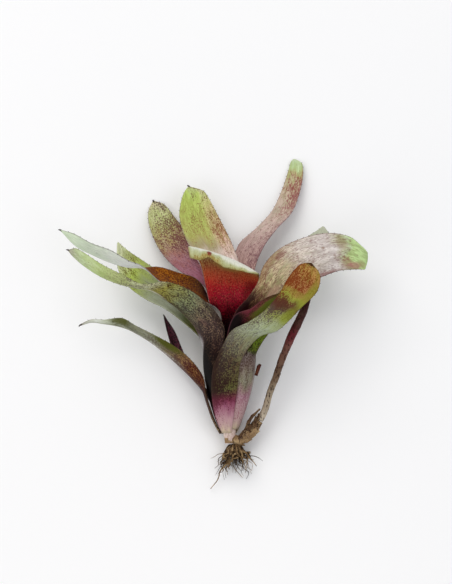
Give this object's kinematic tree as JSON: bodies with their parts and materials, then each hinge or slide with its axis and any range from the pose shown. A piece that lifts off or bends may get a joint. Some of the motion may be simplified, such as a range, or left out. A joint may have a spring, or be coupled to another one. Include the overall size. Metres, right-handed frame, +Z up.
{
  "type": "bare-rooted neoregelia bromeliad",
  "caption": "Neoregelia bromeliad lifted with bare roots and laid on its back: a rosette of spotted strap leaves round a red heart leaf, with a stolon and short roots.",
  "frame": {"origin": "centre of the bounding box in plan, on the surface that the plant lies on", "axes": "+Z up from the surface; +Y along the stem from the roots to the leaf tips; +X to the right of the plant seen from above"},
  "size_m": [0.1864, 0.2086, 0.0643],
  "materials": {
    "leaf_green": "satin",
    "leaf_grey_green": "matte",
    "leaf_grey_pink": "matte",
    "leaf_red": "satin",
    "leaf_orange": "satin",
    "leaf_mauve": "satin",
    "leaf_maroon": "satin",
    "stem_cream": "matte",
    "stolon_brown": "matte",
    "root_brown": "matte",
    "dry_brown": "matte"
  },
  "bodies": {
    "root": {"leaf_front_right": "leaf_grey_green", "leaf_front_left": "leaf_grey_green", "leaf_front_inner": "leaf_maroon", "leaf_right_arching": "leaf_grey_pink", "leaf_back_right": "leaf_grey_green", "leaf_left_broad": "leaf_green", "leaf_long_left": "leaf_orange", "leaf_top_right": "leaf_grey_pink", "leaf_top_left": "leaf_mauve", "leaf_top_middle": "leaf_green", "leaf_centre_red": "leaf_red", "leaf_back": "leaf_green", "leaf_side_low": "leaf_orange", "leaf_side_spike": "leaf_maroon", "stem": "stem_cream", "stolon": "stolon_brown", "roots": "root_brown", "dry_scale": "dry_brown"}
  },
  "joints": []
}
